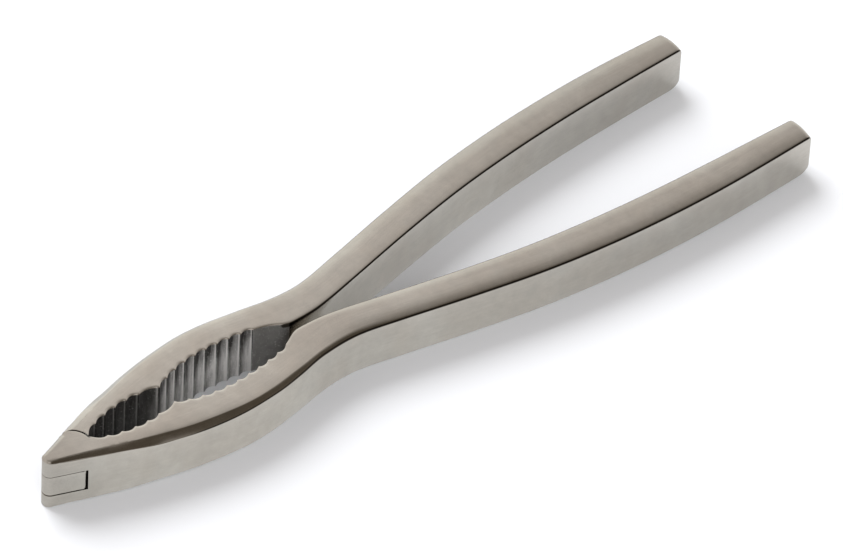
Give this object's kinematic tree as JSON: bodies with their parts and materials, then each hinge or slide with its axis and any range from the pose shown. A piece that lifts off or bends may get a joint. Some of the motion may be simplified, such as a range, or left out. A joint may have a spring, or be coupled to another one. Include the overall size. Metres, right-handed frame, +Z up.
{
  "type": "nutcracker",
  "caption": "Plier-type hand nutcracker: two steel arms hinged at the tip, with a small and a large fluted nut pocket.",
  "frame": {"origin": "middle of the footprint, on the plane the nutcracker lies on", "axes": "+X from the hinge at the tip to the handle ends, +Y towards the tongue arm, +Z up, along the hinge pin"},
  "size_m": [0.1734, 0.0406, 0.0122],
  "materials": {
    "arm_steel": "satin polished cast steel, warm grey",
    "pin_steel": "turned steel, ground flush"
  },
  "bodies": {
    "fork_side": {"fork_arm": "arm_steel", "hinge_pin": "pin_steel"},
    "tongue_side": {"tongue_arm": "arm_steel"}
  },
  "joints": [
    {"name": "hinge", "type": "hinge", "parent": "fork_side", "child": "tongue_side", "pos_m": [-0.0801, 0, 0.006], "axis": [0, 0, 1], "range_deg": [-1, 44]}
  ]
}
